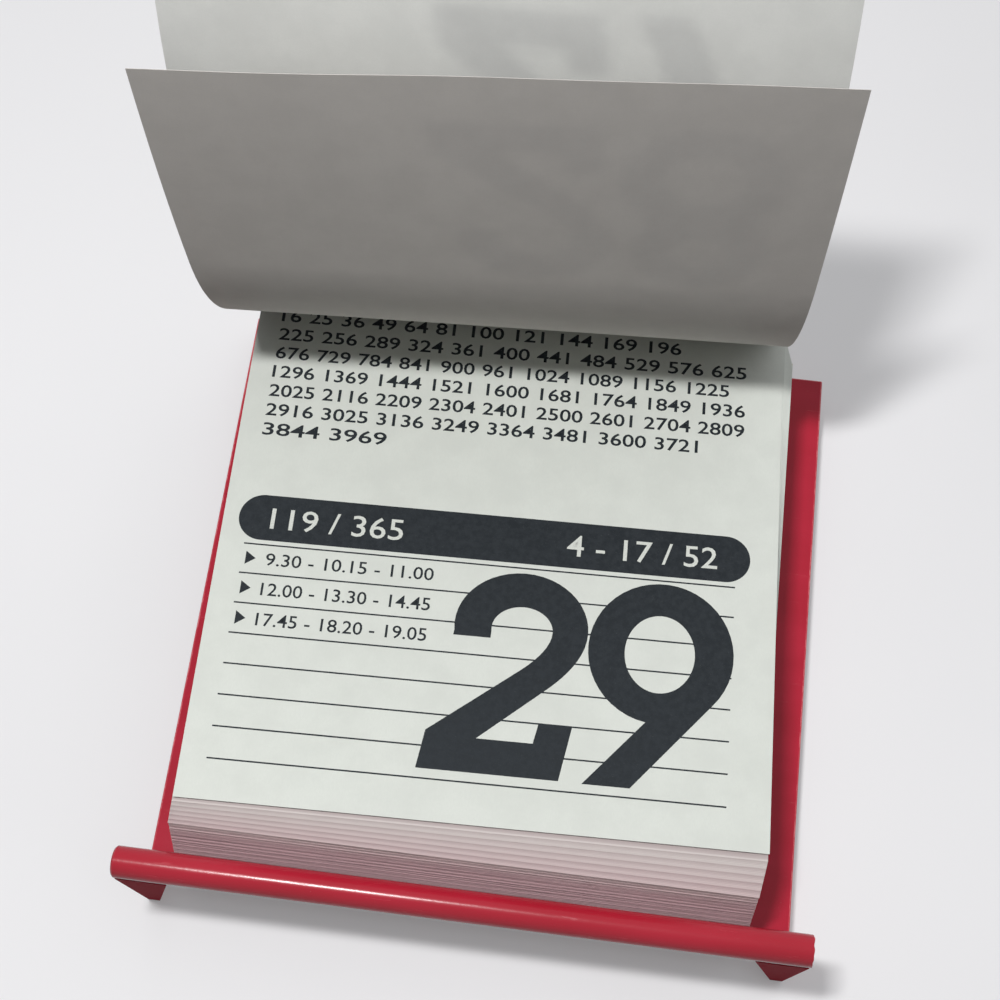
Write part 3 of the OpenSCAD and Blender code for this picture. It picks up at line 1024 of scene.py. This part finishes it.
# Stage
def seen_directly(tree):
    """One for what the camera sees, also by way of gloss or glass, and nought for light that bounces on."""
    path = tree.nodes.new("ShaderNodeLightPath")
    total = path.outputs["Is Camera Ray"]
    for other in ("Is Glossy Ray", "Is Transmission Ray"):
        n = tree.nodes.new("ShaderNodeMath")
        n.operation = "ADD"
        n.use_clamp = True
        tree.links.new(total, n.inputs[0])
        tree.links.new(path.outputs[other], n.inputs[1])
        total = n.outputs[0]
    return total


def make_stage():
    """Pale table; a glow where it is seen softens the shadow and keeps it pale far from the lamp."""
    s = Shader("table", (0.9, 0.895, 0.905), 0.6, 0.2)
    pale = s.mix(s.span(s.noise(6, 3), 0.3, 0.7), (0.63, 0.624, 0.632), (0.655, 0.649, 0.657))
    seen = seen_directly(s.tree)
    s.colour(s.mix(seen, (0.2, 0.2, 0.205), pale))
    s.bsdf.inputs["Emission Color"].default_value = (0.98, 0.985, 1, 1)
    s.put(s.bsdf.inputs["Emission Strength"], s.times(seen, s.span(s.distance(), 0.16, 0.85, 0.2, 0.7)))
    mesh = bpy.data.meshes.new("table")
    corners = [(TABLE_HALF * x, TABLE_HALF * y, 0) for x, y in ((-1, -1), (1, -1), (1, 1), (-1, 1))]
    mesh.from_pydata(corners, [], [(0, 1, 2, 3)])
    mesh.materials.append(s.mat)
    table = bpy.data.objects.new("table", mesh)
    table.location.z = -TABLE_DROP
    scene.collection.objects.link(table)


def add_light(name, place, target, size, power):
    data = bpy.data.lights.new(name, "AREA")
    data.shape = "RECTANGLE"
    data.size, data.size_y = size
    data.energy = power
    lamp = bpy.data.objects.new(name, data)
    lamp.location = place
    lamp.rotation_mode = "QUATERNION"
    lamp.rotation_quaternion = (Vector(target) - Vector(place)).to_track_quat("-Z", "Y")
    scene.collection.objects.link(lamp)


def make_light():
    """One lamp over the foot, a little to the left; the surround is brightest behind and to the right."""
    add_light("key", KEY_PLACE, KEY_TARGET, KEY_SIZE, KEY_POWER)
    world = bpy.data.worlds.new("world")
    world.use_nodes = True
    tree = world.node_tree
    back = tree.nodes["Background"]
    back.inputs["Color"].default_value = (0.97, 0.98, 1, 1)
    way = tree.nodes.new("ShaderNodeVectorMath")
    way.operation = "DOT_PRODUCT"
    way.inputs[1].default_value = BRIGHT_SIDE
    tree.links.new(tree.nodes.new("ShaderNodeTexCoord").outputs["Generated"], way.inputs[0])
    level = tree.nodes.new("ShaderNodeMapRange")
    for key, number in (("From Min", -0.1), ("From Max", 0.95), ("To Min", 0.02), ("To Max", 0.9)):
        level.inputs[key].default_value = number
    tree.links.new(way.outputs["Value"], level.inputs["Value"])
    white = tree.nodes.new("ShaderNodeMix")
    white.inputs["B"].default_value = 1.0
    tree.links.new(seen_directly(tree), white.inputs["Factor"])
    tree.links.new(level.outputs["Result"], white.inputs["A"])
    tree.links.new(white.outputs["Result"], back.inputs["Strength"])
    scene.world = world
    scene.view_settings.view_transform = "Standard"


make_camera()
make_stage()
make_light()
dress_stand()
make_bar()
make_stacks()
make_glue()
make_leaves()
